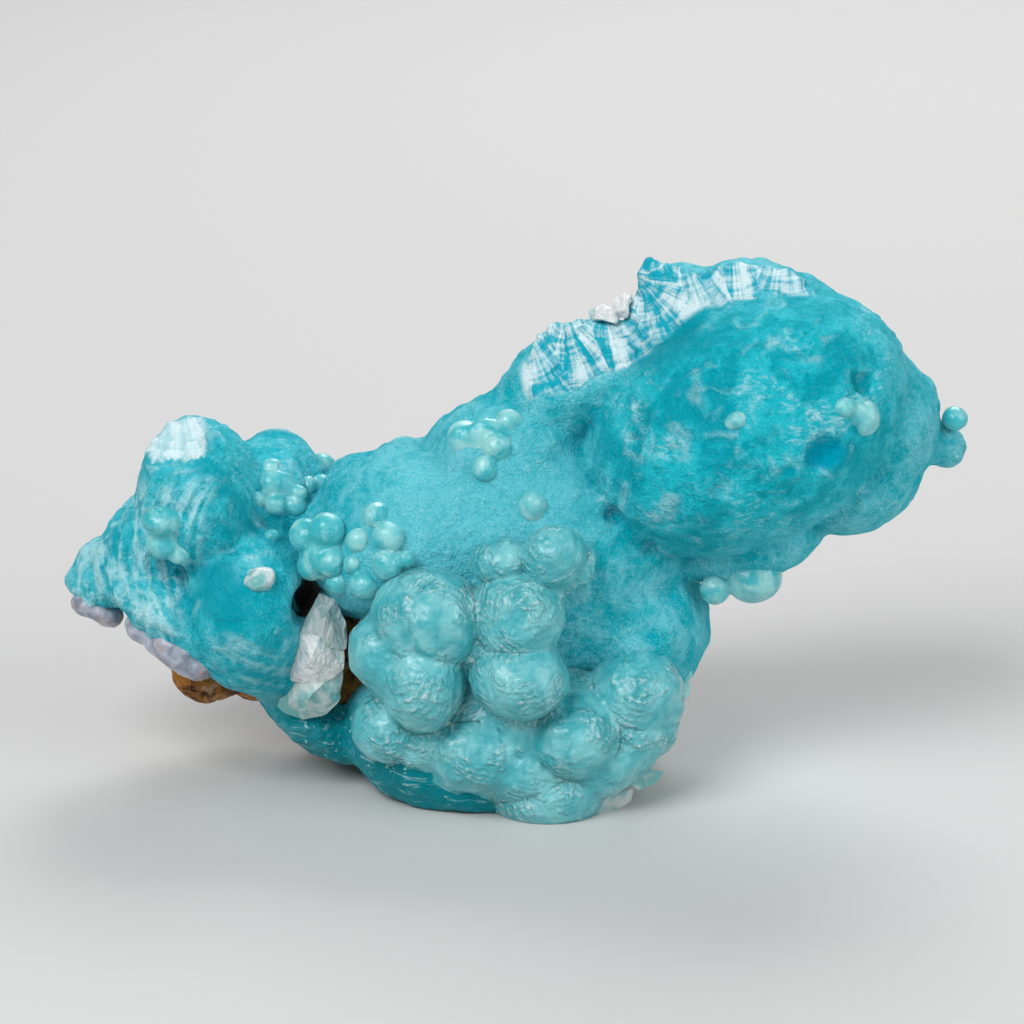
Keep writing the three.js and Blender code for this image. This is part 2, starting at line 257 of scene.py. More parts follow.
def remeshed(name, mesh, voxel):
    """A new piece whose mesh follows the outside of the given one in even squares."""
    piece = bpy.data.objects.new(name, mesh)
    bpy.context.scene.collection.objects.link(piece)
    grid = piece.modifiers.new("even squares", "REMESH")
    grid.mode = "VOXEL"
    grid.voxel_size = voxel * MM
    grid.use_smooth_shade = True
    shown = piece.evaluated_get(bpy.context.evaluated_depsgraph_get())
    piece.data = bpy.data.meshes.new_from_object(shown)
    piece.modifiers.clear()
    return piece


def copy_of(node):
    """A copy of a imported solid's mesh, with its corners joined."""
    mesh = bmesh.new()
    mesh.from_mesh(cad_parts[node].data)
    bmesh.ops.remove_doubles(mesh, verts=mesh.verts, dist=0.01 * MM)
    copy = bpy.data.meshes.new(node)
    mesh.to_mesh(copy)
    mesh.free()
    return copy


def record_on(mesh, name, values):
    """Keeps one number for each point of the mesh, for its finish to read."""
    mesh.attributes.new(name, "FLOAT", "POINT").data.foreach_set("value", values.astype(np.float32))


def record_hollows(mesh, edges, rounds, gain):
    """Keeps how hollow each place is, from -1 on the crests to 1 in the creases."""
    points = points_of(mesh)
    inset = ((relaxed(points, edges, rounds) - points) * normals_of(mesh)).sum(axis=1)
    record_on(mesh, "hollow", (inset * gain).clip(-1, 1))


def stand_in(piece, node, finish):
    """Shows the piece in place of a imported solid, in its finish."""
    piece.data.materials.clear()
    piece.data.materials.append(finish.material)
    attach(piece, "root")
    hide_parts(node)


def soft_step(low, high, values):
    t = ((values - low) / (high - low)).clip(0, 1)
    return t * t * (3 - 2 * t)


def spot(shown, across, up, wide, high=None, roll=0):
    """1 at a place on the display face, falling to 0 at the edge of the ellipse round it."""
    turn = math.radians(roll)
    x = (shown[0] - across) * math.cos(turn) + (shown[1] - up) * math.sin(turn)
    y = (shown[1] - up) * math.cos(turn) - (shown[0] - across) * math.sin(turn)
    return soft_step(1.15, 0.6, np.hypot(x / wide, y / (high or wide)))


def break_plane(at, half, roll, tip):
    """A break's front lower edge, the direction along that edge, its outward normal and its uphill."""
    roll, tip = math.radians(roll), math.radians(tip)
    along = np.array((math.cos(roll), 0, math.sin(roll)))
    upright = np.array((-math.sin(roll), 0, math.cos(roll)))
    backward = np.array((0, 1.0, 0))
    uphill = math.cos(tip) * backward + math.sin(tip) * upright
    normal = math.cos(tip) * upright - math.sin(tip) * backward
    return seen(*at), along, normal, uphill


crust = remeshed("velvet_crust", copy_of("blue_crust"), CRUST_VOXEL)
sharp = points_of(crust.data)
edges = edges_of(crust.data)

broken = np.zeros(len(sharp))
for plate in BREAKS:
    corner, along, normal, uphill = break_plane(**plate)
    offset = sharp - corner
    on_plate = soft_step(1.0, 0.55, np.abs(offset @ normal))
    jagged = 0.9 * rough(sharp, 2.6, 2, seed=48)
    on_plate *= soft_step(plate["half"] + 0.3, plate["half"] - 0.3, np.abs(offset @ along) + jagged)
    on_plate *= soft_step(-0.6, 0.1, offset @ uphill) * (offset @ uphill < BREAK_REACH)
    broken = np.maximum(broken, on_plate)
back_side = soft_step(BACK_EDGE, BACK_EDGE + 0.7, sharp[:, 1])
keep = np.maximum(broken, back_side)[:, None]
points = relaxed(sharp, edges, CRUST_ROUNDS) * (1 - keep) + relaxed(sharp, edges, BREAK_ROUNDS) * keep
swell = spot(as_shown(sharp), *PLACES["smooth dome"])[:, None] * (sharp[:, 1:2] < DOME_BACK)
points = points * (1 - swell) + relaxed(points, edges, DOME_ROUNDS) * swell
move_points(crust.data, points)

points = points_of(crust.data)
normals = normals_of(crust.data)
shown = as_shown(points)
facing = soft_step(0.0, 0.3, -(normals @ INWARD))
across, up = shown

# Where each look shows: the fans of the broken edge, the streaked left tip and the skirt under it, the
# mottled right lobe, the pale dome, the deep blue recess (partly painted shade) and glossy spots, and the
# keel's teal edge.
fan_radius = np.stack([np.hypot(across - fan[0], up - fan[1]) for fan in FANS]).min(axis=0)
streak_round = np.hypot((across + 25.5) / 1.05, (up - 27.5) / 1.1)
streak = soft_step(-33.5, -36.5, across - 0.25 * (up - 27)) * soft_step(35.5, 32.5, up) * facing
skirt = soft_step(-20.0, -24.0, across) * soft_step(18.0, 14.0, up + 0.62 * (across + 34))
streak = np.maximum(streak, 0.7 * skirt * facing) * (1 - broken)
right_lobe = spot(shown, *PLACES["right lobe"])
dome = spot(shown, *PLACES["pale dome"])
# The recess below the broken edge is painted deep blue, partly as painted shade and partly for its smooth
# skin.
recess = spot(shown, *PLACES["recess"]) * (1 - broken)
keel_edge = soft_step(9.5, 6.0, up + 0.32 * (across + 8)) * soft_step(8.0, 4.0, across)
keel_edge *= soft_step(-29.0, -25.0, across)
glossy = np.maximum(0.9 * spot(shown, *PLACES["glossy lobe"]), 0.6 * spot(shown, *PLACES["glossy crease"]))
glossy = np.maximum(glossy * facing, keel_edge)

# The skin's relief: swells, fine lumps, the right lobe's creases, then the dimples and the streaked ledges.
height = 0.34 * rough(points, 6.0, 2, seed=4) * (1 - 0.6 * dome)
height += 0.06 * rough(points, 1.6, 2, seed=9) * (1 - 0.7 * dome)
height -= 0.2 * soft_step(0.6, 1.0, ridged(points, 5.0, 3, seed=21)) * right_lobe
height += 0.07 * (ridged(points * (1, 1, 0.7), 1.8, 2, seed=30) - 0.5) * (1 - dome)
height += 0.07 * rough(points, 0.9, 2, seed=31) * (1 - 0.5 * dome)
for at_across, at_up, radius, depth in DIMPLES:
    distance = np.hypot(across - at_across, up - at_up) / radius
    height -= facing * depth * (np.exp(-distance**2) - 0.3 * np.exp(-((distance - 1.5) ** 2) * 6))
ledges = np.sin(streak_round * 5.2 + 5 * rough(points, 4.0, 3, seed=12))
height += streak * (0.16 * ledges + 0.34 * rough(points, 2.0, 3, seed=3))

# The broken edge has steps across its fibres and a crumbled top. The back is rough.
height = height * (1 - broken)
steps = np.sin(fan_radius * 4.5 + rough(points, 3.0, 2, seed=44))
height += broken * (0.12 * steps + 0.8 * rough(points, 2.4, 3, seed=46))
crumbs = soft_step(0.3, 0.9, ridged(points, 1.9, 2, seed=50))
top_rim = broken * soft_step(3.4, 1.6, fan_radius)
height += 0.8 * top_rim * crumbs
height += 0.85 * soft_step(0.0, 5.0, points[:, 1]) * rough(points, 2.8, 3, seed=62)
height -= back_side * (0.5 + 0.8 * np.abs(rough(points, 4.0, 3, seed=60)))
points = points + height[:, None] * normals
move_points(crust.data, points)

inner = soft_step(BACK_EDGE, BACK_EDGE + 0.6, sharp[:, 1])
cavity = spot(shown, *PLACES["cavity"])
cavity = soft_step(0.35, 0.6, cavity + 0.9 * rough(points, 1.8, 2, seed=47)) * (cavity > 0.05)
swirled = spot(shown, *PLACES["swirl"]) * facing
marks = {
    "broken": np.maximum(broken, 0.85 * inner),
    "across": across,
    "up": up,
    "cavity": cavity * (sharp[:, 1] > CAVITY_FRONT),
    "streak": np.maximum(streak, 0.5 * swirled),
    "streak_round": streak_round,
    "deep": np.maximum(recess, glossy),
    "pit": spot(shown, *PLACES["pit"]) * facing,
    "keel_edge": keel_edge,
    "mottled": np.maximum(right_lobe, 0.75 * soft_step(-22, -27, across)),
    "pale": dome,
}
for name, values in marks.items():
    record_on(crust.data, name, values)
record_hollows(crust.data, edges, 20, 2.5)


class Value:
    """What a node puts out. An expression on values adds the Math nodes that work it out."""

    def __init__(self, finish, socket):
        self.finish, self.socket = finish, socket

    def math(self, operation, *terms):
        return self.finish.math(operation, *terms)

    def __add__(self, other):
        return self.math("ADD", self, other)

    def __sub__(self, other):
        return self.math("SUBTRACT", self, other)

    def __rsub__(self, other):
        return self.math("SUBTRACT", other, self)

    def __mul__(self, other):
        return self.math("MULTIPLY", self, other)

    __radd__ = __add__
    __rmul__ = __mul__

    def sine(self):
        return self.math("SINE", self)

    def step(self, low, high):
        """From 0 at low to 1 at high, softly."""
        settings = {"interpolation_type": "SMOOTHSTEP"}
        inputs = {"Value": self, "From Min": low, "From Max": high}
        return self.finish.node("ShaderNodeMapRange", settings, inputs)


class Finish:
    """A stone's surface. Its constants are set on the shader, and node adds what varies."""

    def __init__(self, name, constants):
        self.material = bpy.data.materials.new(name)
        self.material.use_nodes = True
        self.surface = self.material.node_tree.nodes["Principled BSDF"]
        for socket, value in constants.items():
            self.surface.inputs[socket].default_value = value
        self.place = self.node("ShaderNodeTexCoord", {}, {}, "Object")

    def link(self, value, socket):
        if isinstance(value, Value):
            self.material.node_tree.links.new(value.socket, socket)
        else:
            socket.default_value = value

    def node(self, kind, settings, inputs, output=0):
        node = self.material.node_tree.nodes.new(kind)
        for setting, value in settings.items():
            setattr(node, setting, value)
        for socket, value in inputs.items():
            self.link(value, node.inputs[socket])
        return Value(self, node.outputs[output])

    def math(self, operation, *terms):
        return self.node("ShaderNodeMath", {"operation": operation}, dict(enumerate(terms)))

    def set(self, **inputs):
        """Feeds the shader's sockets, whose names are written with low lines for spaces."""
        for socket, value in inputs.items():
            self.link(value, self.surface.inputs[socket.replace("_", " ").title()])

    def mark(self, name):
        """A number that was kept for each point of the mesh."""
        return self.node("ShaderNodeAttribute", {"attribute_name": name}, {}, "Fac")

    def noise(self, size, detail=3.0, distortion=0.0, place=None):
        """Cloudy noise from 0 to 1, whose patches are size mm across."""
        inputs = {"Vector": place or self.place, "Scale": 1 / (size * MM)}
        inputs |= {"Detail": detail, "Distortion": distortion}
        return self.node("ShaderNodeTexNoise", {}, inputs)

    def stretched(self, x, y, z):
        """The place, scaled along each axis, so that noise read there is drawn out."""
        return self.node("ShaderNodeVectorMath", {"operation": "MULTIPLY"}, {0: self.place, 1: (x, y, z)})

    def mix(self, factor, first, second):
        inputs = {0: factor, 6: first, 7: second}
        return self.node("ShaderNodeMix", {"data_type": "RGBA"}, inputs, 2)

    def bump(self, height, depth):
        """Relief that is depth mm from its lowest to its highest."""
        return self.node("ShaderNodeBump", {}, {"Height": height, "Distance": depth * MM})

    def place_of(self, x, y, z):
        """A place made of three numbers, in mm."""
        place = self.node("ShaderNodeCombineXYZ", {}, {0: x, 1: y, 2: z})
        return self.node("ShaderNodeVectorMath", {"operation": "SCALE"}, {0: place, "Scale": MM})


def paint(red, green, blue):
    """A colour given by its screen values from 0 to 255."""
    screen = np.array((red, green, blue)) / 255
    linear = np.where(screen <= 0.04045, screen / 12.92, ((screen + 0.055) / 1.055) ** 2.4)
    return (*linear.tolist(), 1.0)


NAP_DEPTH = 0.3
VELVET_MID = paint(0, 171, 187)
VELVET_PALE = paint(106, 200, 213)
VELVET_DEEP = paint(0, 150, 168)
VELVET_CLEAR = paint(36, 190, 206)
VELVET_PIT = paint(0, 162, 190)
VELVET_FROST = paint(190, 234, 240)
VELVET_SHEEN = paint(90, 235, 250)
VELVET_SHINE = paint(90, 225, 240)
FIBRE_WHITE = paint(220, 242, 246)
FIBRE_BLUE = paint(24, 174, 196)
CAVITY_BROWN = paint(44, 32, 30)
KEEL_TEAL = paint(0, 130, 140)

velvet = Finish("blue velvet", {"Roughness": 0.8, "Sheen Weight": 0.12, "Sheen Roughness": 0.35})
velvet.surface.inputs["Sheen Tint"].default_value = VELVET_SHEEN
velvet.surface.inputs["Specular Tint"].default_value = VELVET_SHINE
velvet.surface.inputs["Specular IOR Level"].default_value = 0.2
broken_mark = velvet.mark("broken")
hollow_mark = velvet.mark("hollow")
mottled_mark = velvet.mark("mottled")
streak_mark = velvet.mark("streak")
swirl = velvet.noise(8.0, 3.0, 1.0)
patch = velvet.noise(2.6, 4.0, 0.6)
speck = velvet.noise(0.24, 2.0)
grain = velvet.noise(0.9, 3.0)
hairs = velvet.noise(3.0, 5.0, 0.7)

crests = velvet.mix(mottled_mark, VELVET_PALE, VELVET_CLEAR)
skin = velvet.mix((patch * 0.5 + swirl * 0.4 + grain * 0.4).step(0.5, 0.8), VELVET_MID, crests)
skin = velvet.mix(velvet.mark("pale") * 0.5, skin, VELVET_PALE)
dark_patch = (swirl * 0.7 + patch * 0.3 + grain * 0.25).step(0.7, 0.52) * mottled_mark
# Painted shade: the creases are painted deep blue by how hollow they are, together with the right lobe's own
# dark patches.
skin = velvet.mix((dark_patch * 0.7 + hollow_mark.step(0.05, 0.8) * 0.7).step(0, 1), skin, VELVET_DEEP)
skin = velvet.mix(speck.step(0.5, 0.3) * 0.4, skin, VELVET_MID)
fibres = velvet.noise(0.7, 3.0, 0.9, velvet.stretched(0.6, 0.8, 1.3))
velvety = swirl.step(0.46, 0.6) * fibres.step(0.44, 0.66) * mottled_mark
frost = hairs.step(0.5, 0.75) * (mottled_mark * 0.3 + 0.16) + velvety * 0.4
frost = frost + speck.step(0.44, 0.78) * (0.4 - mottled_mark * 0.2)
# Painted highlight: the crests are painted frostier by how far they stand out.
frost = frost + (0 - hollow_mark).step(0.15, 0.8) * 0.3
skin = velvet.mix(frost.step(0, 1) * 0.8, skin, VELVET_FROST)
# The deep mark gives the glossy spots and the keel's edge their own deep blue, and gives the recess a deep
# blue that is partly painted shade.
skin = velvet.mix(velvet.mark("deep") * 0.85, skin, VELVET_DEEP)
across_mark, up_mark = velvet.mark("across"), velvet.mark("up")
layers = velvet.noise(1.0, 4.0, 0.3, velvet.place_of(velvet.mark("streak_round") * 1.1, up_mark * 0.16, 3.0))
bands = (layers - 0.5) * 3.0 + (hairs - 0.5) * 2.0 + (grain - 0.5) * 1.4 + 0.4
skin = velvet.mix(streak_mark * bands.step(0.1, 0.9) * 0.64, skin, VELVET_FROST)
skin = velvet.mix(velvet.mark("pit"), skin, VELVET_PIT)
keel_edge_mark = velvet.mark("keel_edge")
skin = velvet.mix(keel_edge_mark * 0.8, skin, KEEL_TEAL)
flakes = velvet.noise(0.9, 4.0, 0.6, velvet.stretched(0.35, 0.5, 1.7)).step(0.55, 0.7)
# Painted highlights: glittering specks are painted on the keel's edge, beside its own pale flakes.
painted_glitter = velvet.noise(0.5, 2.0).step(0.6, 0.7) * patch.step(0.45, 0.6)
skin = velvet.mix((flakes * 0.5 + painted_glitter * 0.8) * keel_edge_mark, skin, VELVET_FROST)

# The broken edge reads its distance and angle from the nearest fan, so that its noise runs along the fibres.
FAR_OFF = 1000.0
FAN_TURN = 3.7
fan_radius_mark, fan_angle_mark = FAR_OFF, 0.0
for number, (fan_across, fan_up) in enumerate(FANS):
    beside, below = across_mark - fan_across, fan_up - up_mark
    distance = velvet.math("SQRT", beside * beside + below * below)
    closer = velvet.math("LESS_THAN", distance, fan_radius_mark)
    turned = velvet.math("ARCTAN2", beside, below) + FAN_TURN * number
    fan_angle_mark = closer * turned + (1 - closer) * fan_angle_mark
    fan_radius_mark = velvet.math("MINIMUM", distance, fan_radius_mark)
rays = velvet.noise(1.0, 4.0, 0.0, velvet.place_of(fan_angle_mark * 13.0, fan_radius_mark * 0.12, 0.0))
sectors = velvet.noise(1.0, 1.0, 0.0, velvet.place_of(fan_angle_mark * 3.0, fan_radius_mark * 0.1, 5.0))
rings = velvet.noise(1.0, 4.0, 0.0, velvet.place_of(fan_radius_mark * 2.1, fan_angle_mark * 0.8, 9.0))
shade = (0.5 - rays) * 2.0 + (0.5 - rings) * 1.8 + (sectors - 0.5) * 2.0 + (patch - 0.5) * 1.8 + 0.56
left_knob = across_mark.step(-30, -31)
inside = velvet.mix(shade.step(0, 1) * (1 - left_knob * 0.6), FIBRE_WHITE, FIBRE_BLUE)
inside = velvet.mix(grain.step(0.58, 0.72) * 0.4, inside, FIBRE_WHITE)
scallop = (fan_radius_mark + (rays - 0.5) * 2.0 + (patch - 0.5) * 4.0).step(8.0, 7.3)
broken_mark = broken_mark * scallop
stone = velvet.mix(velvet.mark("cavity"), velvet.mix(broken_mark, skin, inside), CAVITY_BROWN)
velvet.set(base_color=stone)

relief = speck * 0.7 + grain * 1.4 + hairs * 1.8
roughness = 0.82 - velvet.mark("deep") * 0.35 - broken_mark * 0.25
velvet.set(normal=velvet.bump(relief, NAP_DEPTH), roughness=roughness)
stand_in(crust, "blue_crust", velvet)


# The host rock
# Rusty limonite with seams of ochre and grey quartz. It shows in the hollow beside the cluster, along the
# lower left edge, at the rough back and at the flat foot.
ROCK_VOXEL = 0.5
RUST = paint(112, 70, 46)
DARK_RUST = paint(38, 26, 22)
OCHRE = paint(196, 130, 58)
SANDSTONE_PINK = paint(206, 164, 136)
QUARTZ_GREY = paint(168, 164, 158)

rock = remeshed("rough_rock", copy_of("host_rock"), ROCK_VOXEL)
edges = edges_of(rock.data)
points = relaxed(points_of(rock.data), edges, 3)
move_points(rock.data, points)
normals = normals_of(rock.data)
outside = soft_step(9.0, 13.0, points[:, 1])
height = 1.5 * (ridged(points, 5.0, 4, seed=70) - 0.75) + 0.7 * rough(points, 1.8, 3, seed=74)
height = np.where(height > 0, height * (0.25 + 0.5 * outside), height)
height *= soft_step(0.1, 1.2, points[:, 2])
points = points + height[:, None] * normals
move_points(rock.data, points)
record_hollows(rock.data, edges, 12, 1.6)
record_on(rock.data, "front", soft_step(8.0, 2.0, points[:, 1]))

rust = Finish("rusty rock", {"Roughness": 0.85, "Specular IOR Level": 0.3})
blotch = rust.noise(5.0, 3.0, 0.6)
grit = rust.noise(0.7, 3.0)
hollow_mark = rust.mark("hollow")
stone = rust.mix((blotch * 0.7 + grit * 0.5).step(0.45, 0.75), DARK_RUST, RUST)
front_mark = rust.mark("front")
seams = (rust.noise(3.4, 4.0, 1.0) + grit * 0.4 + front_mark * 0.16).step(0.7, 0.95)
stone = rust.mix(seams * 0.85, stone, OCHRE)
sandy = rust.noise(1.6, 4.0, 0.8).step(0.54, 0.66) * front_mark
stone = rust.mix(sandy * 0.6, stone, SANDSTONE_PINK)
quartz = (rust.noise(6.5, 4.0, 1.4) + grit * 0.3).step(0.74, 0.86) * (1 - front_mark)
stone = rust.mix(quartz * 0.7, stone, QUARTZ_GREY)
# Painted shade: the rock's hollows are painted dark rust by how hollow they are.
stone = rust.mix(hollow_mark.step(0.1, 0.9) * 0.7, stone, DARK_RUST)
rust.set(base_color=stone, normal=rust.bump(grit * 1.2 + rust.noise(0.25, 2.0) * 0.4, 0.6))
stand_in(rock, "host_rock", rust)


# The keel's botryoids
# Pale green smithsonite, clouded like frosted glass, in round bulbs 9 to 11 mm across that have grown into
# one another. Their skin is crinkled in fine curved ledges.
CLUSTER_VOXEL = 0.24
BULBS = (
    ((-12, 20.5, 4), (5.7, 5.4, 5.5), 0),
    ((-6.6, 19.0, 5), (3.4, 4.4, 5.0), 0),
    ((-11, 20.3, 2.5), (4.5, 4.4, 4.6), 0),
    ((-16, 17.6, 4), (3.8, 4.4, 4.1), 0),
    ((-12.3, 14.2, 2), (4.2, 5, 5), 0),
    ((-2.6, 20.9, 2.8), (4.8, 4.6, 4.5), 0),
    ((-2.4, 14.6, 1), (5, 4.8, 4), 0),
    ((-15.2, 10, 5), (4.4, 4.6, 3.6), 0),
    ((-7, 7.8, 4), (6, 5.4, 4.6), -15),
    ((3, 9, 3), (4.8, 5, 4.4), 0),
    ((0.2, 4.2, 6), (6.6, 6.6, 4.8), 0),
    ((9.2, 13, 6), (5, 5, 4.6), 0),
    ((7, 8.6, 6), (5, 5, 4.2), 0),
    ((-4.3, 26.5, 4.2), (3.0, 2.6, 2.3), 0),
    ((0.9, 26.9, 3), (3.2, 3, 3.2), 0),
    ((3.2, 25.2, 3), (1.9, 1.4, 1.5), 0),
    ((1.6, 24.4, 3.2), (1.8, 1.5, 1.2), -20),
    ((4.1, 26.6, 3.6), (1.1, 1.2, 1.2), 0),
    ((-3, 8.8, 6), (14.8, 5.8, 7.8), 0),
    ((-14.2, 16, 3.6), (4.2, 4.6, 5.2), 40),
    ((-11.2, 9, 4.6), (5.4, 4.4, 4), -10),
    ((-2, 6.3, 4.8), (6.4, 5.4, 4.6), 0),
    ((5.4, 7.2, 5), (5.2, 4.8, 4.4), 30),
    ((8.6, 10.6, 6.2), (5, 4.8, 5), 0),
)
CREST_LEAN = 0.5
CREST_TURN = 2.4
SPHERE_STEPS = 4


def ball(mesh, at, size, roll=0, steps=SPHERE_STEPS):
    """Adds a rounded growth. Its roll is anticlockwise as seen from the front."""
    made = bmesh.ops.create_icosphere(mesh, subdivisions=steps, radius=1)
    turn = math.radians(roll)
    centre = seen(*at)
    for vert in made["verts"]:
        x, y, z = (vert.co[axis] * size[axis] for axis in range(3))
        turned = (x * math.cos(turn) - z * math.sin(turn), y, x * math.sin(turn) + z * math.cos(turn))
        vert.co = Vector(centre + np.array(turned)) * MM


def grown(name, balls, voxel, steps=SPHERE_STEPS):
    """One piece of the rounded growths, each given by its place, size and roll."""
    mesh = bmesh.new()
    for at, size, roll in balls:
        ball(mesh, at, size, roll, steps)
    solid = bpy.data.meshes.new(name)
    mesh.to_mesh(solid)
    mesh.free()
    return remeshed(name, solid, voxel)


def arcs_round(points, balls):
    """How far, in mm, each point lies round its own ball from the ball's crest."""
    nearest = np.full(len(points), np.inf)
    arc = np.zeros(len(points))
    for number, (at, size, _) in enumerate(balls):
        lean = CREST_LEAN * np.array((math.cos(CREST_TURN * number), 0, math.sin(CREST_TURN * number)))
        crest = lean - INWARD + 0.3 * UPWARD
        offset = (points - seen(*at)) / size
        reach = np.linalg.norm(offset, axis=1)
        turn = np.arccos((offset @ crest / (reach * np.linalg.norm(crest))).clip(-1, 1))
        arc = np.where(reach < nearest, turn * size[0], arc)
        nearest = np.minimum(reach, nearest)
    return arc


def painted_edge_light_of(mesh):
    """1 where a growth turns away to its edge, where it is painted pale as an edge highlight."""
    return soft_step(0.62, 0.1, -(normals_of(mesh) @ INWARD))


cluster = grown("frosted_bulbs", BULBS, CLUSTER_VOXEL)
edges = edges_of(cluster.data)
points = relaxed(points_of(cluster.data), edges, 8)
move_points(cluster.data, points)
normals = normals_of(cluster.data)
arc = arcs_round(points, BULBS)
crumpled = soft_step(-0.1, 0.3, rough(points, 4.0, 2, seed=82))
ledges = np.sin(arc * 5.5 + 4 * rough(points, 2.4, 3, seed=84))
height = 0.03 * ledges * crumpled
height += 0.4 * rough(points, 3.2, 2, seed=88) + 0.22 * rough(points, 1.2, 3, seed=86)
height *= soft_step(0.05, 0.9, points[:, 2])
points = points + height[:, None] * normals
move_points(cluster.data, points)
record_hollows(cluster.data, edges, 25, 1.8)
record_on(cluster.data, "arc", arc)
record_on(cluster.data, "rim", painted_edge_light_of(cluster.data))

FROSTED_GREEN = paint(62, 184, 194)
FROSTED_PALE = paint(126, 212, 218)
FROSTED_HOLLOW_SHADE = paint(10, 170, 182)
PAINTED_GLINT = paint(214, 246, 246)
FROSTED_GLASS = {
    "IOR": 1.6,
    "Subsurface Weight": 0.3,
    "Subsurface Radius": (0.6, 1.3, 1.3),
    "Subsurface Scale": 0.8 * MM,
    "Transmission Weight": 0.1,
    "Coat Weight": 0.5,
    "Coat Roughness": 0.12,
}


def green_finish(name, glass, deep, mid, pale, crinkle_depth, painted_glint_share):
    """Green smithsonite, with painted shade in its hollows and painted highlights on its crests, edges and
    glints.
    """
    green = Finish(name, glass)
    cloud = green.noise(2.6, 2.0, 0.8)
    wander = green.noise(2.4, 3.0, 0.8)
    fine = green.noise(0.55, 4.0, 0.3)
    crumpled = green.noise(3.6, 3.0).step(0.44, 0.62)
    folds = (green.mark("arc") * 8.0 + wander * 15.0).sine()
    crinkle = folds * crumpled * 0.24 + fine * (crumpled * 1.9 + 0.9)
    hollow = green.mark("hollow")
    colour = green.mix(cloud.step(0.35, 0.7), mid, pale)
    # Painted shade: the hollows are painted in the deep colour by how hollow they are.
    colour = green.mix(hollow.step(0.0, 0.9) * 0.6, colour, deep)
    # Painted highlight: the crests and the edges turned from the front are painted pale.
    crests = (0 - hollow).step(0.1, 0.9) * 0.4 + green.mark("rim") * 0.45
    colour = green.mix(crests.step(0, 1), colour, pale)
    # Painted highlights: small white glints are painted along the folds and fine crinkles.
    painted_glints = folds.step(0.3, 0.9) * crumpled * fine.step(0.42, 0.58) + fine.step(0.54, 0.66) * crumpled
    colour = green.mix(painted_glints * painted_glint_share, colour, PAINTED_GLINT)
    green.set(base_color=colour, roughness=0.42 - crumpled * 0.26, normal=green.bump(crinkle, crinkle_depth))
    return green


frosted = green_finish("frosted green", FROSTED_GLASS, FROSTED_HOLLOW_SHADE, FROSTED_GREEN, FROSTED_PALE, 0.24, 0.4)
stand_in(cluster, "keel_botryoids", frosted)


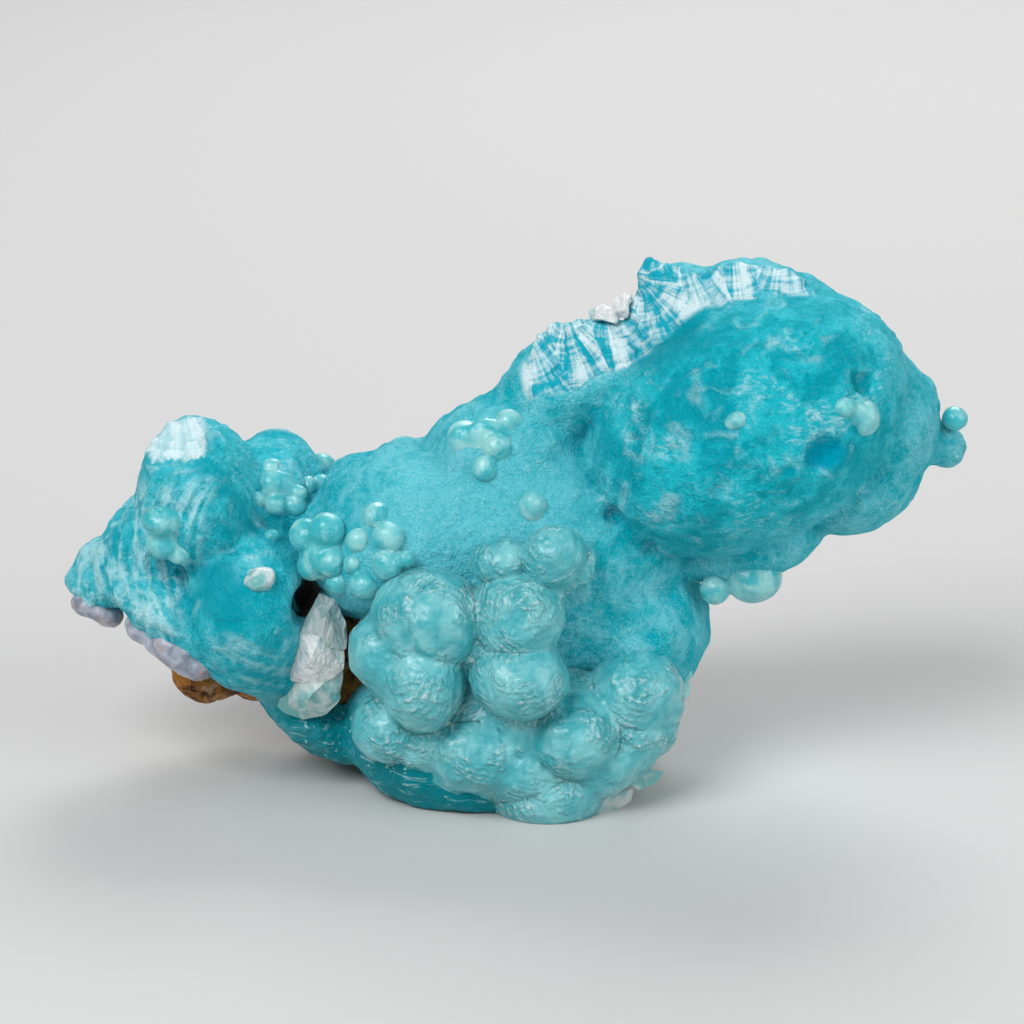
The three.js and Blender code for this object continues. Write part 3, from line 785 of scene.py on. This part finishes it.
# The small beads
# Single beads of the same green smithsonite, 2 to 6 mm across, in tight groups on the crust. Each sits where
# the sight line meets the crust unless its depth is given, and each group is one piece.
BEAD_VOXEL = 0.15
SUNK = 0.35
BEADS = {
    "dome_beads": (
        {"at": (-21.6, 27.4, 9.5), "size": (3, 3, 3.2)},
        {"at": (-21.8, 29.5, 8), "size": (1.8, 1.8, 1.8)},
        {"at": (-23.9, 28.9, 9.2), "size": (1.8, 1.8, 1.8)},
        {"at": (-23.2, 26, 8.6), "size": (1.6, 1.6, 1.6)},
        {"at": (-21.3, 26.3, 7), "size": (1.5, 1.5, 1.5)},
    ),
    "dome_right_beads": (
        {"at": (-20.6, 24.3), "size": (1.3, 1.3, 1.3)},
        {"at": (-18.1, 24.1), "size": (1.5, 1.5, 1.5)},
        {"at": (-19.2, 26.1), "size": (1, 1, 1)},
        {"at": (-16.9, 30.9), "size": (1.4, 1.4, 1.4)},
        {"at": (-18.6, 28.4), "size": (1.3, 1.3, 1.3)},
        {"at": (-15.7, 28.8), "size": (1.6, 1.6, 1.6)},
        {"at": (-15.8, 26.1), "size": (1.6, 1.6, 1.6)},
        {"at": (-14, 26.6), "size": (0.9, 0.9, 0.9)},
    ),
    "notch_beads": (
        {"at": (-26.8, 33.4), "size": (2.2, 1, 2.2)},
        {"at": (-27.3, 34.1), "size": (1.5, 1.5, 1.5)},
        {"at": (-27.3, 35.6), "size": (1.1, 1.1, 1.1)},
        {"at": (-28.8, 32.6), "size": (0.9, 0.9, 0.9)},
        {"at": (-27, 32), "size": (1.2, 1.2, 1.2)},
        {"at": (-25.1, 31.9), "size": (1.2, 1.2, 1.2)},
        {"at": (-24.7, 33.2), "size": (0.9, 0.9, 0.9)},
        {"at": (-23.7, 34), "size": (1, 1, 1)},
        {"at": (-22.2, 35.9), "size": (1.4, 1.4, 1.4)},
        {"at": (-22.5, 34), "size": (1.2, 1.2, 1.2)},
    ),
    "crease_bead": ({"at": (-27.3, 28.7), "size": (0.9, 0.9, 0.9)},),
    "left_lobe_beads": (
        {"at": (-38, 29.2), "size": (1.4, 1, 1.4), "lift": 0.4},
        {"at": (-38.3, 30.5), "size": (2.1, 2.1, 1.5), "lift": 0.5},
        {"at": (-38.1, 28.2), "size": (1.8, 1.8, 1.5), "lift": 0.5},
        {"at": (-36.6, 27.2), "size": (1.1, 1.1, 1.1)},
    ),
    "ridge_beads": (
        {"at": (-5.8, 38.2), "size": (2.6, 1.1, 2.6)},
        {"at": (-8, 38.7), "size": (1.8, 1.8, 1.8)},
        {"at": (-4.6, 37.8), "size": (1.6, 1.6, 1.6)},
        {"at": (-3.6, 40.2), "size": (1.4, 1.4, 1.4)},
        {"at": (-6, 35.6), "size": (1.3, 1.3, 1.3)},
    ),
    "saddle_bead": ({"at": (-1.2, 31.8), "size": (1.4, 1.4, 1.7)},),
    "right_lobe_flat_bead": ({"at": (19, 40.5), "size": (1.3, 1.3, 0.9), "roll": 25},),
    "right_lobe_beads": (
        {"at": (31, 41.2), "size": (1.4, 1, 1.4)},
        {"at": (29.8, 41.8), "size": (1.3, 1.3, 1.1)},
        {"at": (32.1, 40.7), "size": (1.5, 1.5, 1.9)},
    ),
    "tip_bead": ({"at": (41, 40.7, 17.5), "size": (1.4, 1.4, 1.3)},),
    "lower_right_beads": (
        {"at": (20.8, 24.8, 12), "size": (2.9, 2.9, 2.6)},
        {"at": (17, 23.6, 11.5), "size": (1.6, 1.6, 1.6)},
    ),
    "keel_edge_beads": (
        {"at": (13.7, 15.4, 12), "size": (1.1, 1.1, 1.4)},
        {"at": (13.5, 13.5, 12), "size": (1.1, 1.1, 1.3)},
    ),
}
BEAD_GREEN = paint(62, 202, 212)
BEAD_PALE = paint(176, 240, 240)
BEAD_HOLLOW_SHADE = paint(0, 168, 188)
BEAD_GLASS = {
    "IOR": 1.55,
    "Subsurface Weight": 0.3,
    "Subsurface Radius": (0.6, 1.3, 1.3),
    "Subsurface Scale": 0.6 * MM,
    "Transmission Weight": 0.2,
    "Coat Weight": 0.3,
    "Coat Roughness": 0.12,
}

solid_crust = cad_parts["blue_crust"].data
skin_tree = BVHTree.FromPolygons(
    [vert.co for vert in solid_crust.vertices], [face.vertices for face in solid_crust.polygons]
)


def skin_depth(across, up):
    """How far behind the toe the sight line through a place on the display face meets the crust."""
    hit = skin_tree.ray_cast(Vector(EYE) * MM, Vector(sight(across, up)))[0]
    return hit.y / MM - TOE[1]


def settled(bead):
    """A bead's place, size and roll on the crust, from which it may be lifted by a share of its size."""
    across, up, *back = bead["at"]
    sunk = (SUNK - bead.get("lift", 0)) * bead["size"][0]
    depth = back[0] if back else skin_depth(across, up) + sunk
    return (across, up, depth), bead["size"], bead.get("roll", 0)


def crinkled(piece, amount, size, seed, rounds=3):
    """Roughens a small growth, once its creases are eased, and keeps how hollow each place is."""
    edges = edges_of(piece.data)
    points = relaxed(points_of(piece.data), edges, rounds)
    move_points(piece.data, points)
    height = amount * rough(points, size, 3, seed)
    points = points + height[:, None] * normals_of(piece.data)
    move_points(piece.data, points)
    record_hollows(piece.data, edges, 12, 5)
    record_on(piece.data, "rim", painted_edge_light_of(piece.data))


bead_finish = green_finish("bead green", BEAD_GLASS, BEAD_HOLLOW_SHADE, BEAD_GREEN, BEAD_PALE, 0.08, 0)
for seed, (node, beads) in enumerate(BEADS.items()):
    piece = grown(f"{node}_round", [settled(bead) for bead in beads], BEAD_VOXEL)
    crinkled(piece, 0.2, 1.8, 100 + seed)
    stand_in(piece, node, bead_finish)


# Grey chalcedony
# Waxy grey quartz in rounded bumps that have grown into one another. It fills a seam between the crust and
# the rock, under the left edge and at the left tip.
CHALCEDONY = {
    "chalcedony_seam": (
        ((-36.2, 17.2, 9.5), (3.8, 2.6, 2.1), -38),
        ((-40.2, 19.5, 12), (2, 2, 1.3), -30),
        ((-38.2, 18.5, 10.5), (2, 2.2, 1.6), 0),
        ((-34.6, 15.8, 8.5), (1.8, 2, 1.5), 0),
    ),
    "chalcedony_tip": (
        ((-45.6, 22.3, 17.5), (1.8, 2.4, 1.4), 0),
        ((-43.9, 21.2, 17), (1.9, 2.4, 1.3), -30),
    ),
}
CHALCEDONY_GREY = paint(128, 138, 154)
CHALCEDONY_PALE = paint(184, 188, 202)
CHALCEDONY_RUST = paint(150, 104, 84)
WAX = {
    "Roughness": 0.36,
    "Subsurface Weight": 0.4,
    "Subsurface Radius": (1, 1, 1),
    "Subsurface Scale": MM,
    "Coat Weight": 0.15,
}

grey = Finish("grey chalcedony", WAX)
grey_cloud = grey.noise(1.6, 4.0, 0.6)
grey_colour = grey.mix(grey_cloud.step(0.35, 0.65), CHALCEDONY_GREY, CHALCEDONY_PALE)
grey_colour = grey.mix(grey.noise(2.4, 4.0).step(0.55, 0.7) * 0.45, grey_colour, CHALCEDONY_RUST)
grey.set(base_color=grey_colour, normal=grey.bump(grey.noise(0.5, 3.0), 0.1))
for seed, (node, bumps) in enumerate(CHALCEDONY.items()):
    piece = grown(f"{node}_waxy", bumps, BEAD_VOXEL)
    crinkled(piece, 0.3, 1.6, 130 + seed, 30)
    stand_in(piece, node, grey)


# White calcite and quartz
# A broken crystal fills the hollow beside the cluster. Its top is clear, its lower left is white with cracks,
# and its split foot is milky green. Chips of the same lie at the keel's right edge.
CLEAR_CHUNK = (
    (-23.8, 20.9, 8.6),
    (-22.6, 23.3, 9.2),
    (-21.0, 22.6, 8.6),
    (-19.9, 20.4, 7.4),
    (-19.9, 17.6, 6.6),
    (-22.3, 17.8, 6.0),
    (-24.4, 19.2, 7.2),
    (-21.8, 20.8, 6.2),
    (-22, 19, 14),
)
WHITE_CHUNK = (
    (-24.7, 19.5, 7.6),
    (-22.6, 18.9, 6.0),
    (-20.2, 17.9, 6.8),
    (-20.2, 15.6, 6.6),
    (-22.6, 14.0, 6.8),
    (-25.7, 14.4, 8.2),
    (-25.9, 16.0, 8.4),
    (-23.2, 16.4, 5.6),
    (-23, 16, 14),
)
GREEN_FOOT = (
    (-25.8, 14.2, 8.4),
    (-23.2, 14.8, 7.4),
    (-20.4, 15.6, 7.4),
    (-20.4, 12.8, 7.2),
    (-21.8, 11.2, 7.2),
    (-24.3, 10.6, 7.6),
    (-26.9, 11.8, 8.6),
    (-23.6, 12.8, 6.0),
    (-23.6, 13, 12),
)
KEEL_CHIPS = (
    ((7.6, 4.6, 3.6), (9.2, 5.8, 4.4), (11.8, 5.4, 5.0), (11.2, 4.3, 4.6), (9.4, 3.6, 4.0), (9.6, 5.0, 8)),
    ((4.8, 1.2, 3.0), (6.0, 2.6, 3.2), (9.0, 3.8, 4.4), (8.6, 2.4, 4.4), (6.8, 1.2, 3.8), (6.6, 2.2, 8)),
)
WHITE_GROWTH = {"at": (-28.7, 24.5), "size": (1.7, 1.7, 1.1), "roll": 15}
DRUSE_VOXEL = 0.15
CHUNK_CUTS = 5
CLEAR_SHADE = paint(176, 214, 216)
CLEAR_WHITE = paint(244, 252, 252)
MILK_SHADE = paint(200, 232, 234)
MILK_WHITE = paint(252, 254, 254)
GREEN_MILK = paint(134, 212, 212)
GREEN_MILK_WHITE = paint(240, 250, 248)
MILKY_STONE = {
    "Roughness": 0.3,
    "IOR": 1.5,
    "Transmission Weight": 0.15,
    "Subsurface Weight": 0.3,
    "Subsurface Radius": (1, 1, 1),
    "Subsurface Scale": MM,
}


def chunk(name, corners, crumple, seed):
    """A piece broken to flat faces, given by its corners. Crumple is how far its faces are split, in mm."""
    mesh = bmesh.new()
    for corner in corners:
        mesh.verts.new(Vector(seen(*corner)) * MM)
    bmesh.ops.convex_hull(mesh, input=mesh.verts)
    bmesh.ops.triangulate(mesh, faces=mesh.faces)
    bmesh.ops.subdivide_edges(mesh, edges=mesh.edges, cuts=CHUNK_CUTS, use_grid_fill=True)
    data = bpy.data.meshes.new(name)
    mesh.to_mesh(data)
    mesh.free()
    points = points_of(data)
    shift = np.stack([rough(points, 2.2, 2, seed + axis) for axis in range(3)], axis=1)
    move_points(data, points + crumple * shift)
    piece = bpy.data.objects.new(name, data)
    bpy.context.scene.collection.objects.link(piece)
    return piece


clear = Finish("clear crystal", {"Roughness": 0.12, "IOR": 1.5, "Transmission Weight": 0.45})
shell = clear.noise(1.6, 5.0, 1.0, clear.stretched(1.4, 1.0, 0.5))
clear_white = clear.mix(shell.step(0.4, 0.62), CLEAR_SHADE, CLEAR_WHITE)
clear.set(base_color=clear_white, normal=clear.bump(shell, 0.7))
milky = Finish("milky crystal", MILKY_STONE)
milk = milky.noise(1.8, 6.0, 0.8, milky.stretched(1.2, 1.0, 0.6))
white = milky.mix(milk.step(0.36, 0.5), MILK_SHADE, MILK_WHITE)
milky.set(base_color=white, normal=milky.bump(milk + milky.noise(0.5, 4.0) * 0.5, 0.8))
green_milky = Finish("green milky crystal", {"Roughness": 0.3, "IOR": 1.5, "Transmission Weight": 0.35})
milk = green_milky.noise(2.2, 5.0, 0.8)
green_white = green_milky.mix(milk.step(0.42, 0.6), GREEN_MILK, GREEN_MILK_WHITE)
green_milky.set(base_color=green_white, normal=green_milky.bump(milk, 0.5))

stand_in(chunk("crystal_clear_top", CLEAR_CHUNK, 0.25, 150), "broken_crystal", clear)
stand_in(chunk("crystal_white_foot", WHITE_CHUNK, 0.4, 155), "broken_crystal", milky)
stand_in(chunk("crystal_green_foot", GREEN_FOOT, 0.4, 158), "broken_crystal", green_milky)
for seed, corners in enumerate(KEEL_CHIPS):
    chip = chunk(f"keel_chip_{seed + 1}", corners, 0.2, 170 + seed)
    stand_in(chip, "keel_botryoids", green_milky)

white_bead = grown("left_lobe_crystal_round", [settled(WHITE_GROWTH)], BEAD_VOXEL)
crinkled(white_bead, 0.5, 1.3, 152)
stand_in(white_bead, "left_lobe_crystal", green_milky)

druse = remeshed("quartz_druse_fine", copy_of("quartz_druse"), DRUSE_VOXEL)
crinkled(druse, 0.35, 0.8, 153)
stand_in(druse, "quartz_druse", milky)
